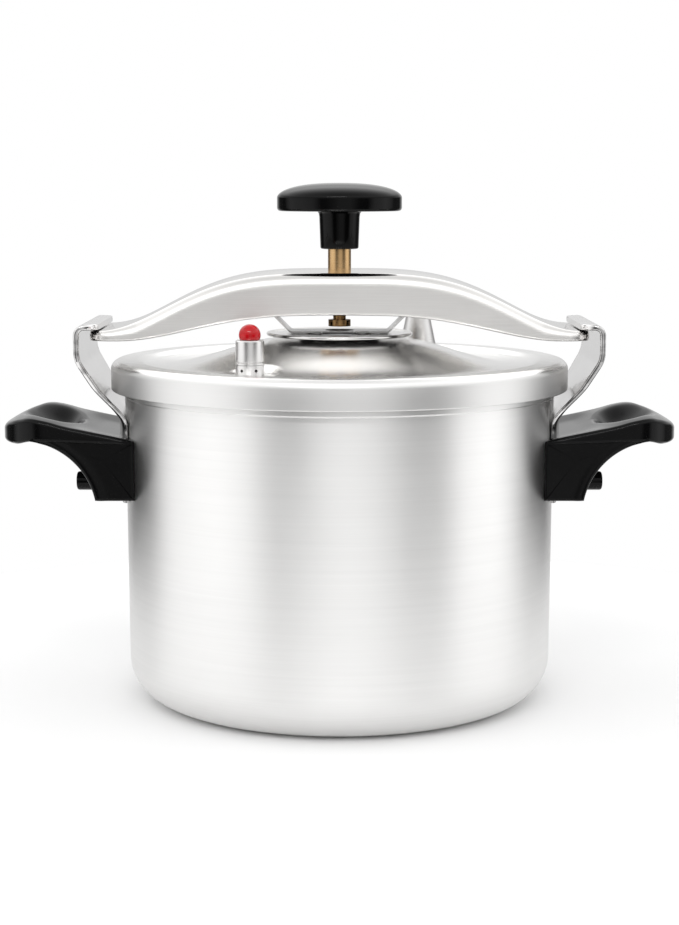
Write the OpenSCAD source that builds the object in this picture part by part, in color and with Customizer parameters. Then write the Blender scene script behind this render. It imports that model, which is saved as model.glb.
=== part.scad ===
// Pressure canner with a bridge and screw closure.
// An aluminium pot carries two steel hooks and two moulded handles. A round lid sits
// on a rubber ring. A steel bridge turns under the hooks, and its screw holds the lid down.
// The origin is the centre of the base. X runs along the bridge, Z is up.

/* [Pot] */
// Outside diameter of the pot at its rim band
pot_d = 240; // [200:1:290]
// Height of the pot from the table to its rim
pot_h = 181; // [150:1:220]
// Thickness of the side wall
wall_t = 2.6; // [2:0.1:3.4]
// Thickness of the base
base_t = 4; // [3:0.1:6]
// Radius of the rounded bottom corner
corner_r = 24; // [16:1:30]
// How much the wall narrows towards the foot, on the radius
wall_taper = 1; // [0:0.1:2]
// Height of the thickened band at the rim
band_h = 11; // [8:0.5:14]
// How far the rim band stands out from the wall
band_proud = 0.8; // [0.4:0.1:1.4]

/* [Lid] */
// Sheet thickness of the lid
lid_t = 2.8; // [2:0.1:3.6]
// Gap between the rim band and the inside of the skirt
skirt_gap = 4; // [2.5:0.5:6]
// Height of the skirt
skirt_h = 16; // [13:0.5:20]
// Rounding of the lid's outer top edge
lid_edge_r = 5; // [3:0.5:7]
// Rise of the dome above the flat ring round it
dome_rise = 13.6; // [10:0.1:18]
// Depth of the ring channel between the dome and the edge
channel_depth = 2.5; // [1:0.5:3]
// Height of the rubber ring
gasket_h = 6; // [5:0.5:8]
// Width of the rubber ring
gasket_w = 11; // [8:0.5:13]

/* [Centre disc] */
// Diameter of the steel disc that the screw presses on
disc_d = 80.6; // [66:0.2:98]
// Sheet thickness of the disc
disc_t = 1.2; // [0.8:0.1:1.6]
// Diameter of the recess in the disc
recess_d = 42; // [34:0.5:52]
// Depth of the recess
recess_depth = 1.95; // [1.5:0.05:2.5]

/* [Bridge] */
// Width of the bridge
bridge_w = 74; // [60:1:90]
// Sheet thickness of the bridge
bridge_t = 2.5; // [2:0.1:3.2]
// Height of the bridge's top above the disc's lip
crown_h = 35.2; // [30:0.1:44]
// Rise of the bridge from its ends to its middle
bridge_rise = 31.8; // [26:0.1:38]
// Depth of the side flange in the middle
flange_mid = 22.3; // [16:0.1:27]
// Depth of the side flange at the ends
flange_end = 4.5; // [3.5:0.1:6]
// Corner radius of the bridge's ends
bridge_corner_r = 12; // [6:0.5:16]

/* [Hooks] */
// Sheet thickness of the hooks
hook_t = 3; // [2.4:0.1:3.6]
// Width of the hooks at the mouth
hook_w = 84; // [70:1:101]
// Width of the hooks where they meet the pot
hook_foot_w = 64; // [54:1:70]
// Length of the lip that the bridge turns under
lip_len = 13; // [11:0.5:16]
// Height of the straight part below the lip
mouth_h = 19; // [16:0.5:23]
// Angle of the slanted part from upright
hook_slant = 31; // [27:0.5:34]

/* [Handles] */
// How far the handles reach out from the pot's wall
handle_reach = 67.5; // [58:0.5:81]
// Width of the handles
handle_w = 90; // [82:1:108]
// Height of the handles' lower edge above the table
handle_low_z = 115.8; // [110:0.2:119]
// Thickness of the handles' side cheeks
cheek_t = 4.5; // [3.5:0.1:6]

/* [Screw and knob] */
// Diameter of the brass screw
screw_d = 12.8; // [10.8:0.1:15.4]
// Gap between the screw's foot and the disc, with the screw slack
foot_gap = 5.5; // [4.6:0.1:6.6]
// Diameter of the knob
knob_d = 69; // [58:0.5:83]
// Height of the knob's upright edge
knob_edge_h = 8.4; // [7:0.1:10]
// Rise of the knob's top above that edge
knob_crown = 7; // [5:0.1:9]
// Length of the knob's neck
neck_h = 20.8; // [17:0.1:25]
// Diameter of the neck where it joins the knob
neck_d = 22.6; // [19:0.1:27]
// Length of screw that shows between the bridge and the neck
screw_show = 11; // [8:0.5:16]

/* [Valves] */
// Diameter of the working valve's body
valve_d = 15; // [12.6:0.1:18]
// Height of the working valve above its seat, without the cap
valve_h = 18.2; // [16:0.1:22]
// Diameter of the red cap
cap_d = 11.4; // [9.6:0.1:13.6]
// Diameter of the safety valve at its foot
safety_d = 21.6; // [18:0.1:26]
// Height of the safety valve above its seat
safety_h = 20.4; // [17:0.1:24]
// Radius of the flat seats pressed into the lid for the valves
seat_r = 14; // [13.5:0.1:15]

/* [Fasteners] */
// Shank diameter of the rivets that hold the hooks
rivet_d = 5.2; // [4.4:0.1:6.2]
// Shank diameter of the handle bolts
bolt_d = 5; // [4:0.1:6]

/* [Fits] */
// Gap between pieces that are fixed together
fixed_gap = 0.02; // [0.01:0.01:0.04]
// Gap of a piece that lies against a wall
rest_gap = 0.05; // [0.02:0.01:0.1]
// Radial gap of a turning or sliding fit
run_gap = 0.07; // [0.05:0.01:0.1]
// Gap between faces that pass each other
pass_gap = 0.3; // [0.3:0.05:0.6]

/* [Hidden] */
$fn = 96;
arc_steps = 8;
curve_steps = 40;

// Pot
rim_r = pot_d / 2;
band_z = pot_h - band_h;

// Lid, from the rim upwards
lid_r = rim_r + skirt_gap + lid_t;
gasket_z = pot_h + 0.1;
lid_under_z = gasket_z + gasket_h;
lid_top_z = lid_under_z + lid_t;
skirt_z = lid_top_z - skirt_h;
gasket_r = lid_r - lid_t - pass_gap;
channel_z = lid_top_z - channel_depth;
channel_in_r = rim_r - 23;
channel_out_r = rim_r - 14;
edge_flat_r = gasket_r - gasket_w - 0.2;
disc_r = disc_d / 2;
dome_flat_r = disc_r - 10;
dome_z = channel_z + dome_rise;

lid_inner_r = lid_edge_r - lid_t + 0.5;

// Centre disc
disc_floor_z = dome_z + rest_gap + disc_t;
disc_lip_z = disc_floor_z + recess_depth;
disc_rivet_r = recess_d * 0.36;
disc_rivet_d = 4;

// Bridge and hooks
crown_z = disc_lip_z + crown_h;
bridge_end_z = crown_z - bridge_rise;
lip_gap = 0.5;
hook_top_z = bridge_end_z + lip_gap + hook_t;
lip_tip_x = lid_r + 3.2;
strap_x = lip_tip_x + lip_len;
bridge_half = strap_x - hook_t - 4;
web_reach = bridge_half - 6;
flange_reach = bridge_half - 16;
lip_corner_r = 10;
foot_low_z = handle_low_z - 2.8;
bend_r = 16;
lip_bend_r = 4;

// Clip under the bridge
clip_t = 1;
clip_w = 22;
clip_flat = 27;
clip_tab = 14;
clip_z = disc_lip_z + pass_gap;

// Screw and knob
screw_r = screw_d / 2;
foot_r = screw_r - 0.2;
foot_h = 3.6;
foot_z = disc_floor_z + foot_gap;
neck_pin_r = screw_r * 0.55;
pin_top_z = foot_z + 8.4;
bush_flange_h = 6;
bush_r = screw_r + 2.6;
knob_low_z = crown_z + screw_show;
knob_disc_z = knob_low_z + neck_h;
knob_r = knob_d / 2;
head_r = screw_r + 2.6;
head_h = 6;
head_z = knob_disc_z - head_h - 1;

// Valves
valve_ring_r = channel_in_r - 9;
valve_ang = -122;
safety_ang = 58;
seat_z = channel_z;
seat_wall = lid_t;
valve_r = valve_d / 2;
collar_h = valve_h * 0.29;
stem_r = 4.5;
valve_bore_r = valve_r - 2.3;
valve_low_z = seat_z + rest_gap;
valve_body_z = valve_low_z + collar_h + 0.2;
valve_top_z = valve_low_z + valve_h;
valve_roof_t = 2;
piston_r = 1.9;
piston_foot_h = 1.5;
piston_foot_z = valve_body_z + 4.4;
safety_r = safety_d / 2;
safety_top_r = safety_r * 0.67;
safety_washer_h = 0.8;
safety_z = seat_z + rest_gap + safety_washer_h + rest_gap;
safety_top_z = seat_z + safety_h;
safety_stem_r = 5.5;
safety_bore_r = 4.6;
safety_roof_t = 2.4;
plunger_r = 2.5;
plunger_foot_z = safety_z + 8.6;
nut_h = 5;
nut_washer_h = 1.2;
seat_under_z = seat_z - seat_wall;

// Handles
handle_half = handle_w / 2;
band_recess = 0.7;
wall_x = rim_r - band_proud;
strap_end_x = wall_x - 5;
strap_end_z = hook_top_z - mouth_h - (strap_x - hook_t / 2 - strap_end_x) / tan(hook_slant);
foot_top_z = strap_end_z + 12.3;
boss_r = 5.3;
boss_z = handle_low_z + 4.9;
boss_x = wall_x + 28.3;
bar_t = 5;
bar_h = 11;
plate_slope = 0.209;
plate_z = handle_low_z + 34.3;
arc_r = 40.5;
arc_x = wall_x + 53;
arc_z = handle_low_z - 7.8;
plan_end = 26.5;
plate_root_t = 3.9;
handle_back = 20;
strap_gap = 3;
bolt_gap = 0.2;

// Hook rivets
rivet_r = rivet_d / 2;
rivet_head_r = rivet_r + 2;
rivet_head_h = 2;
head_stand = 0.6;
rivet_low = [23, handle_low_z + bar_h + rivet_head_r + 0.6];
rivet_high = [13, plate_z - plate_root_t - rivet_head_r - 0.6];
bolt_r = bolt_d / 2;
bolt_head_r = bolt_r + 1.4;
bolt_head_h = 2.5;
weld_nut_r = bolt_r + 2.2;
weld_nut_h = 3.6;

// Outside radius of the pot's wall at height z
function wall_r(z) = wall_x - wall_taper * (1 - z / band_z);

// Smooth fall from 1 to 0 as u goes from 0 to 1
function ease(u) = (1 + cos(180 * min(max(u, 0), 1))) / 2;

// Height of the lid's upper face at radius r
function lid_face(r) =
  r <= channel_in_r
    ? channel_z + dome_rise * ease((r - dome_flat_r) / (channel_in_r - dome_flat_r))
    : lid_top_z - channel_depth * ease((r - channel_out_r) / (edge_flat_r - channel_out_r));

// Height of the bridge's upper face and of its flanges' lower edge at x
function web_z(x) = bridge_end_z + bridge_rise * ease(pow(min(abs(x) / web_reach, 1), 1.8));
function flange_z(x) =
  bridge_end_z - flange_end
  + (bridge_rise + flange_end - flange_mid) * ease(pow(min(abs(x) / flange_reach, 1), 1.5));

function unit(v) = v / norm(v);
function xy(p) = [p[0], p[1]];

// Points of the fillet of radius r at corner p, between neighbours a and b
function fillet_points(a, p, b, r) =
  let (u = unit(a - p), w = unit(b - p), half = acos(u * w) / 2)
  let (c = p + unit(u + w) * r / sin(half), run = r / tan(half))
  let (s = p + u * run - c, e = p + w * run - c)
  let (start = atan2(s[1], s[0]), turn = atan2(s[0] * e[1] - s[1] * e[0], s * e))
  [for (i = [0:arc_steps])
    c + r * [cos(start + turn * i / arc_steps), sin(start + turn * i / arc_steps)]];

// An outline from corners [x, y, fillet radius]
function rounded(pts) =
  [for (i = [0:len(pts) - 1])
    let (a = xy(pts[(i + len(pts) - 1) % len(pts)]), b = xy(pts[(i + 1) % len(pts)]))
    each (pts[i][2] == 0 ? [xy(pts[i])] : fillet_points(a, xy(pts[i]), b, pts[i][2]))];

// Unit vector square to a path at its point i
function side(path, i) =
  let (d = unit(path[min(i + 1, len(path) - 1)] - path[max(i - 1, 0)])) [-d[1], d[0]];

// Outline of a strip of thickness t along a path
function strip(path, t) =
  concat([for (i = [0:len(path) - 1]) path[i] + side(path, i) * t / 2],
    [for (i = [len(path) - 1:-1:0]) path[i] - side(path, i) * t / 2]);

// A flat outline in X and Z, carried along Y from the middle plane both ways
module across(width) {
  translate([0, width / 2, 0]) rotate([90, 0, 0]) linear_extrude(width) children();
}

// A block from low to high corner
module block(low, high) {
  translate(low) cube(high - low);
}

// The piece on the left is the mirror image of the piece on the right
module left() {
  mirror([1, 0, 0]) children();
}

// Moves a piece to a valve's place on the lid
module at_valve(angle) {
  rotate([0, 0, angle]) translate([valve_ring_r, 0, 0]) children();
}

// Tube from z0 to z1
module tube(outer, inner, z0, z1) {
  translate([0, 0, z0]) difference() {
    cylinder(r = outer, h = z1 - z0);
    translate([0, 0, -1]) cylinder(r = inner, h = z1 - z0 + 2);
  }
}

module hex_nut(r, bore, z0, h) {
  translate([0, 0, z0]) difference() {
    cylinder(r = r, h = h, $fn = 6);
    translate([0, 0, -1]) cylinder(r = bore, h = h + 2);
  }
}

// ---- Pot ----

// Space that the pot's wall fills, grown outwards by gap
module wall_space(gap) {
  rotate_extrude($fn = 360)
    polygon([[0, 60], [wall_r(60) + gap, 60], [wall_r(band_z) + gap, band_z], [0, band_z]]);
}

// A rivet along X, from the inside of the wall to the outside of the hook
module hook_rivet() {
  inner = wall_x - wall_taper - wall_t - head_stand;
  outer = wall_x + hook_t + head_stand;
  rotate([0, 90, 0]) {
    translate([0, 0, inner]) cylinder(r = rivet_r - fixed_gap, h = outer - inner);
    translate([0, 0, inner - rivet_head_h + 0.4]) cylinder(r = rivet_head_r, h = rivet_head_h);
    translate([0, 0, outer - 0.4]) cylinder(r = rivet_head_r, h = rivet_head_h);
  }
}

// Puts a piece at each of the four rivet places of one hook
module rivet_places() {
  for (p = [rivet_low, rivet_high], s = [-1, 1])
    rotate([0, 0, s * asin(p[0] / wall_x)]) translate([0, 0, p[1]]) children();
}

module rivet_holes() {
  rivet_places() rotate([0, 90, 0]) translate([0, 0, wall_x - 12]) cylinder(r = rivet_r, h = 24);
}

module pot_body() {
  low_r = wall_r(0);
  in_r = corner_r - wall_t;
  outside = [
    [0, 0, 0], [low_r, 0, corner_r], [wall_r(band_z), band_z, 0], [rim_r, band_z + 0.8, 0],
    [rim_r, pot_h, 0.8], [rim_r - wall_t - band_proud, pot_h, 0.8],
    [wall_r(band_z) - wall_t, band_z - 2, 0], [low_r - wall_t, base_t, in_r], [0, base_t, 0]];
  color("silver") difference() {
    rotate_extrude($fn = 180) polygon(rounded(outside));
    rivet_holes();
    left() rivet_holes();
  }
}

// Bent strap, from the lip's tip down to the wall
module strap() {
  path = rounded([
    [lip_tip_x, hook_top_z - hook_t / 2, 0],
    [strap_x - hook_t / 2, hook_top_z - hook_t / 2, lip_bend_r],
    [strap_x - hook_t / 2, hook_top_z - mouth_h, bend_r],
    [strap_end_x, strap_end_z, 0]]);
  across(hook_w) polygon(strip(path, hook_t));
}

// Front outline of a hook: full width at the mouth, narrower at the foot
module hook_front() {
  knee_z = hook_top_z - mouth_h;
  straight_z = strap_end_z + 6.3;
  rotate([90, 0, 90]) linear_extrude(strap_x + 20)
    polygon([
      [-hook_foot_w / 2, foot_low_z], [hook_foot_w / 2, foot_low_z],
      [hook_foot_w / 2, straight_z], [hook_w / 2, knee_z], [hook_w / 2, hook_top_z + 1],
      [-hook_w / 2, hook_top_z + 1], [-hook_w / 2, knee_z], [-hook_foot_w / 2, straight_z]]);
}

// Rounds one corner of the lip's tip
module lip_corner_cut() {
  c = lip_corner_r;
  translate([lip_tip_x, hook_w / 2 - c, hook_top_z - hook_t - 1]) difference() {
    translate([-1, 0, 0]) cube([c + 1, c + 1, hook_t + 2]);
    translate([c, 0, -1]) cylinder(r = c, h = hook_t + 4);
  }
}

module hook() {
  color("gainsboro") difference() {
    union() {
      intersection() {
        strap();
        hook_front();
      }
      intersection() {
        rotate_extrude($fn = 360) polygon([
          [wall_r(foot_low_z), foot_low_z], [wall_r(foot_low_z) + hook_t, foot_low_z],
          [wall_r(foot_top_z) + hook_t, foot_top_z], [wall_r(foot_top_z), foot_top_z]]);
        hook_front();
      }
    }
    wall_space(rest_gap);
    rivet_holes();
    lip_corner_cut();
    mirror([0, 1, 0]) lip_corner_cut();
  }
}

module hook_right() {
  hook();
}
module hook_left() {
  left() hook();
}
module hook_rivets_right() {
  color("lightgrey") rivet_places() hook_rivet();
}
module hook_rivets_left() {
  left() hook_rivets_right();
}

// ---- Handles ----

// Plan of a handle: it starts inside the pot's wall, with straight sides and a half-oval end
module handle_plan() {
  back = sqrt(wall_x * wall_x - handle_half * handle_half) - 6;
  mid = wall_x + handle_reach - plan_end;
  linear_extrude(handle_low_z + 60)
    polygon(concat([[back, handle_half], [back, -handle_half]],
      [for (i = [0:curve_steps]) let (a = -90 + 180 * i / curve_steps)
        [mid + plan_end * cos(a), handle_half * sin(a)]]));
}

// Side view of the top plate, thin at the wall and thick at the crest
module plate_outline() {
  tip = wall_x + handle_reach;
  back = wall_x - handle_back;
  polygon(rounded([
    [back, plate_z - plate_root_t, 0], [tip - 17, plate_z - 1.2, 4], [tip - 12, plate_z - 5.6, 4],
    [tip - 3, plate_z - 6.4, 3], [tip, plate_z - 2.5, 3], [tip, plate_z + 5, 3],
    [wall_x + 45, plate_z + 1 + plate_slope * 45, 25], [back, plate_z - handle_back * plate_slope, 0]]));
}

// Side view of a cheek, with its hollow underside
module cheek_outline() {
  back = wall_x - handle_back;
  start = 180 - asin((handle_low_z - arc_z) / arc_r);
  polygon(concat(
    [[back, plate_z - 3], [back, handle_low_z]],
    [for (i = [0:16]) let (a = start + (94 - start) * i / 16)
      [arc_x + arc_r * cos(a), arc_z + arc_r * sin(a)]],
    [[arc_x - 4, plate_z - 1]]));
}

module handle() {
  cheek_out = handle_half - band_recess;
  strap_half = hook_foot_w / 2 + strap_gap;
  color([0.06, 0.06, 0.065]) difference() {
    union() {
      intersection() {
        union() {
          across(handle_w) plate_outline();
          for (s = [-1, 1])
            translate([0, s * (cheek_out - cheek_t / 2), 0]) across(cheek_t) cheek_outline();
        }
        handle_plan();
      }
      block([wall_x - handle_back, -cheek_out + 1, handle_low_z + 0.2],
        [wall_x + hook_t + bar_t, cheek_out - 1, handle_low_z + bar_h]);
      translate([wall_x, 0, boss_z]) rotate([0, 90, 0]) cylinder(r = boss_r, h = boss_x - wall_x);
    }
    wall_space(rest_gap);
    // Room for the hook's foot and for the strap where it leaves the wall
    intersection() {
      wall_space(hook_t + rest_gap * 2);
      block([0, -hook_foot_w / 2 - pass_gap, 0], [strap_x, hook_foot_w / 2 + pass_gap, pot_h]);
    }
    block([0, -strap_half, plate_z - 8], [wall_x + hook_t + 0.2, strap_half, plate_z + 20]);
    // Bolt, its head and the weld nut
    translate([wall_x - 10, 0, boss_z]) rotate([0, 90, 0]) cylinder(r = bolt_r + bolt_gap, h = 60);
    translate([boss_x - bolt_head_h - 0.6, 0, boss_z]) rotate([0, 90, 0])
      cylinder(r = bolt_head_r + bolt_gap, h = 10);
    translate([wall_x - 10, 0, boss_z]) rotate([0, 90, 0])
      cylinder(r = weld_nut_r + 0.1, h = 10 + hook_t + weld_nut_h + 0.2);
  }
}

module handle_right() {
  handle();
}
module handle_left() {
  left() handle();
}

module handle_bolt_right() {
  end = wall_x + hook_t + 0.4;
  color("lightgrey") translate([0, 0, boss_z]) rotate([0, 90, 0]) difference() {
    union() {
      translate([0, 0, end]) cylinder(r = bolt_r - fixed_gap, h = boss_x - bolt_head_h - 0.5 - end);
      translate([0, 0, boss_x - bolt_head_h - 0.55]) cylinder(r = bolt_head_r, h = bolt_head_h);
    }
    translate([-0.6, -bolt_head_r - 1, boss_x - 1.4]) cube([1.2, 2 * bolt_head_r + 2, 4]);
  }
}
module handle_bolt_left() {
  left() handle_bolt_right();
}

module weld_nut_right() {
  color("lightgrey") difference() {
    translate([wall_x, 0, boss_z]) rotate([0, 90, 0])
      cylinder(r = weld_nut_r, h = hook_t + weld_nut_h);
    wall_space(hook_t + rest_gap);
    translate([wall_x - 5, 0, boss_z]) rotate([0, 90, 0]) cylinder(r = bolt_r, h = 30);
  }
}
module weld_nut_left() {
  left() weld_nut_right();
}

// ---- Lid ----

// Half-section of the lid under its upper face, down to the height z
module lid_half(z) {
  polygon(concat(
    [for (i = [0:curve_steps]) let (r = edge_flat_r * i / curve_steps) [r, lid_face(r)]],
    [[edge_flat_r, z], [0, z]]));
}

module lid_section() {
  face = [for (i = [0:curve_steps]) let (r = edge_flat_r * i / curve_steps) [r, lid_face(r)]];
  under = [for (i = [curve_steps:-1:0]) face[i] - [0, lid_t]];
  top_edge = fillet_points([edge_flat_r, lid_top_z], [lid_r, lid_top_z], [lid_r, skirt_z],
    lid_edge_r);
  low_edge = fillet_points([lid_r - lid_t, skirt_z], [lid_r - lid_t, lid_under_z],
    [edge_flat_r, lid_under_z], lid_inner_r);
  polygon(concat(face, top_edge, [[lid_r, skirt_z], [lid_r - lid_t, skirt_z]], low_edge, under));
}

// Solid plug that closes the lid's sheet round a pressed valve seat
module seat_plug() {
  intersection() {
    rotate_extrude() lid_half(seat_under_z);
    translate([valve_ring_r, 0, seat_under_z]) cylinder(r = seat_r + seat_wall, h = 30);
  }
}

module lid_shell() {
  color("silver") difference() {
    union() {
      rotate_extrude($fn = 180) lid_section();
      rotate([0, 0, valve_ang]) seat_plug();
      rotate([0, 0, safety_ang]) seat_plug();
    }
    for (a = [valve_ang, safety_ang])
      at_valve(a) translate([0, 0, seat_z]) cylinder(r = seat_r, h = 30);
    at_valve(valve_ang) translate([0, 0, seat_z - 10]) cylinder(r = stem_r + 0.2, h = 20);
    at_valve(safety_ang) translate([0, 0, seat_z - 10]) cylinder(r = safety_stem_r + 0.2, h = 20);
    disc_rivet_holes();
  }
}

module lid_gasket() {
  color([0.12, 0.12, 0.12]) rotate_extrude($fn = 180) polygon(rounded([
    [gasket_r - gasket_w, gasket_z, 1], [gasket_r, gasket_z, 1],
    [gasket_r, lid_under_z - rest_gap, lid_inner_r + 0.3],
    [gasket_r - gasket_w, lid_under_z - rest_gap, 1]]));
}

// ---- Centre disc ----

module disc_rivet_places() {
  for (a = [30, 150, 270]) rotate([0, 0, a]) translate([disc_rivet_r, 0, 0]) children();
}
module disc_rivet_holes() {
  disc_rivet_places() translate([0, 0, dome_z - 10]) cylinder(r = disc_rivet_d / 2, h = 20);
}

module centre_disc() {
  recess_r = recess_d / 2;
  low = disc_floor_z - disc_t;
  color("gainsboro") difference() {
    rotate_extrude($fn = 180) polygon([
      [0, low], [recess_r + 1.2, low], [recess_r + 2.4, disc_lip_z - disc_t],
      [disc_r, disc_lip_z - disc_t], [disc_r, disc_lip_z], [recess_r + 1.2, disc_lip_z],
      [recess_r, disc_floor_z], [0, disc_floor_z]]);
    disc_rivet_holes();
  }
}

module disc_rivets() {
  under = dome_z - lid_t;
  color("lightgrey") disc_rivet_places() {
    translate([0, 0, under - 0.5]) cylinder(r = disc_rivet_d / 2 - fixed_gap,
      h = disc_floor_z - under + 1);
    translate([0, 0, disc_floor_z + rest_gap]) cylinder(r = disc_rivet_d / 2 + 1.3, h = 0.9);
    translate([0, 0, under - rest_gap - 1]) cylinder(r = disc_rivet_d / 2 + 1, h = 1);
  }
}

// ---- Working valve ----

module valve_stem() {
  spigot_h = 2.6;
  color("silver") at_valve(valve_ang) difference() {
    union() {
      translate([0, 0, seat_under_z - 8]) cylinder(r = stem_r, h = 12);
      translate([0, 0, valve_low_z]) cylinder(r = valve_r, h = collar_h);
      translate([0, 0, valve_low_z]) cylinder(r = valve_bore_r - run_gap, h = collar_h + spigot_h);
    }
    translate([0, 0, seat_under_z - 9]) cylinder(r = 1.5, h = 30);
    for (a = [0:60:300])
      translate([0, 0, valve_low_z + collar_h / 2]) rotate([0, 90, a]) cylinder(r = 0.8, h = 20);
  }
}

module valve_washer() {
  z = seat_under_z - rest_gap - nut_washer_h;
  color([0.15, 0.15, 0.15]) at_valve(valve_ang)
    tube(stem_r + 4.5, stem_r + 0.1, z, z + nut_washer_h);
}

module valve_nut() {
  z = seat_under_z - 2 * rest_gap - nut_washer_h - nut_h;
  color("lightgrey") at_valve(valve_ang) hex_nut(stem_r + 3.5, stem_r + fixed_gap, z, nut_h);
}

module valve_body() {
  groove_z = valve_body_z + 1.2;
  color("silver") at_valve(valve_ang) difference() {
    rotate_extrude() polygon([
      [0, valve_body_z], [valve_r - 0.05, valve_body_z], [valve_r - 0.05, groove_z - 0.4],
      [valve_r - 0.5, groove_z], [valve_r - 0.05, groove_z + 0.4],
      [valve_r - 0.05, valve_top_z - 0.6], [valve_r - 0.6, valve_top_z], [0, valve_top_z]]);
    translate([0, 0, valve_body_z - 1])
      cylinder(r = valve_bore_r, h = valve_top_z - valve_roof_t - valve_body_z + 1);
    translate([0, 0, valve_body_z]) cylinder(r = piston_r + run_gap, h = 30);
  }
}

// Coil spring of round wire between heights z0 and z1
module coil(r, wire, turns, z0, z1) {
  sides = 8;
  steps = turns * 14;
  mid = [for (i = [0:steps]) let (a = 360 * turns * i / steps)
    [r * cos(a), r * sin(a), z0 + wire / 2 + (z1 - z0 - wire) * i / steps]];
  points = [for (i = [0:steps], k = [0:sides - 1])
    let (a = 360 * turns * i / steps, b = 360 * k / sides)
    mid[i] + wire / 2 * (cos(b) * [cos(a), sin(a), 0] + sin(b) * [0, 0, 1])];
  walls = [for (i = [0:steps - 1], k = [0:sides - 1]) let (n = (k + 1) % sides)
    [i * sides + k, i * sides + n, (i + 1) * sides + n, (i + 1) * sides + k]];
  polyhedron(points, concat(walls, [[for (k = [sides - 1:-1:0]) k]],
    [[for (k = [0:sides - 1]) steps * sides + k]]));
}

module valve_spring() {
  color("lightgrey") at_valve(valve_ang)
    coil(valve_bore_r - 1.2, 0.8, 3, piston_foot_z + piston_foot_h + rest_gap,
      valve_top_z - valve_roof_t - rest_gap);
}

module valve_piston() {
  color("lightgrey") at_valve(valve_ang) {
    translate([0, 0, piston_foot_z]) cylinder(r = valve_bore_r - 0.4, h = piston_foot_h);
    translate([0, 0, piston_foot_z]) cylinder(r = piston_r, h = valve_top_z + 3 - piston_foot_z);
  }
}

module valve_cap() {
  r = cap_d / 2;
  low = valve_top_z + pass_gap;
  color("red") at_valve(valve_ang) difference() {
    rotate_extrude() intersection() {
      translate([0, low + r * 0.4]) circle(r = r);
      translate([0, low]) square([r, 2 * r]);
    }
    translate([0, 0, low - 1])
      cylinder(r = piston_r + fixed_gap, h = valve_top_z + 3 + fixed_gap - low + 1);
  }
}

// ---- Safety valve ----

module safety_body() {
  collar = 2.6;
  color("silver") at_valve(safety_ang) difference() {
    union() {
      translate([0, 0, seat_under_z - 8]) cylinder(r = safety_stem_r, h = 14);
      translate([0, 0, safety_z]) cylinder(r = safety_r, h = collar);
      translate([0, 0, safety_z + collar]) cylinder(r1 = safety_r, r2 = safety_top_r,
        h = safety_top_z - safety_z - collar);
    }
    translate([0, 0, safety_z + collar]) cylinder(r = safety_bore_r,
      h = safety_top_z - safety_roof_t - safety_z - collar);
    translate([0, 0, seat_under_z - 9]) cylinder(r = 1.8, h = 14);
    translate([0, 0, safety_z + collar]) cylinder(r = plunger_r + run_gap, h = 40);
  }
}

module safety_washer() {
  color([0.15, 0.15, 0.15]) at_valve(safety_ang)
    tube(safety_r + 0.6, safety_stem_r + 0.1, seat_z + rest_gap,
      seat_z + rest_gap + safety_washer_h);
}

module safety_nut() {
  color("lightgrey") at_valve(safety_ang)
    hex_nut(safety_stem_r + 3.5, safety_stem_r + fixed_gap, seat_under_z - rest_gap - nut_h,
      nut_h);
}

module safety_spring() {
  color("lightgrey") at_valve(safety_ang)
    coil(safety_bore_r - 0.9, 0.8, 4, plunger_foot_z + piston_foot_h + rest_gap,
      safety_top_z - safety_roof_t - rest_gap);
}

module safety_plunger() {
  button_h = 3.4;
  color("silver") at_valve(safety_ang) {
    translate([0, 0, plunger_foot_z]) cylinder(r = safety_bore_r - 0.3, h = piston_foot_h);
    translate([0, 0, plunger_foot_z]) cylinder(r = plunger_r,
      h = safety_top_z + button_h - plunger_foot_z);
  }
}

// ---- Bridge ----

module bridge_plan() {
  translate([0, 0, bridge_end_z - 20]) linear_extrude(80) polygon(rounded(
    [for (c = [[1, 1], [-1, 1], [-1, -1], [1, -1]])
      [c[0] * bridge_half, c[1] * bridge_w / 2, bridge_corner_r]]));
}

module bridge() {
  n = 2 * curve_steps;
  xs = [for (i = [0:n]) bridge_half * (2 * i / n - 1)];
  outside = concat([for (x = xs) [x, web_z(x)]], [for (i = [n:-1:0]) [xs[i], flange_z(xs[i])]]);
  hollow = concat([for (x = xs) [x * 1.02, web_z(x) - bridge_t]],
    [[bridge_half * 1.02, bridge_end_z - 30], [-bridge_half * 1.02, bridge_end_z - 30]]);
  color("gainsboro") difference() {
    intersection() {
      across(bridge_w) polygon(outside);
      bridge_plan();
    }
    across(bridge_w - 2 * bridge_t) polygon(hollow);
    translate([0, 0, crown_z - 10]) cylinder(r = bush_r, h = 20);
  }
}

module bridge_bush() {
  under = crown_z - bridge_t - rest_gap;
  color("goldenrod") difference() {
    union() {
      translate([0, 0, under - bush_flange_h]) cylinder(r = bush_r + 4, h = bush_flange_h);
      translate([0, 0, under - 1]) cylinder(r = bush_r - fixed_gap, h = bridge_t + 1);
    }
    translate([0, 0, under - 20]) cylinder(r = screw_r + run_gap, h = 40);
  }
}

// Height of the middle of a strip that lies against the bridge from below
function clip_tab_z(x) = web_z(x) - bridge_t - clip_t / 2 - 0.2;

module bridge_clip() {
  rise_x = clip_flat + clip_tab_z(clip_flat) - clip_z - 4;
  end_x = rise_x + clip_tab;
  half = [
    [clip_flat, clip_z + clip_t / 2, 2.5], [rise_x, clip_tab_z(rise_x), 2.5],
    [end_x, clip_tab_z(end_x), 0]];
  path = rounded(concat([for (i = [2:-1:0]) [-half[i][0], half[i][1], half[i][2]]], half));
  color("gainsboro") difference() {
    across(clip_w) polygon(strip(path, clip_t));
    translate([0, 0, clip_z - 1]) cylinder(r = screw_r + 1.6, h = 3);
  }
}

// ---- Screw and knob ----

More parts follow.
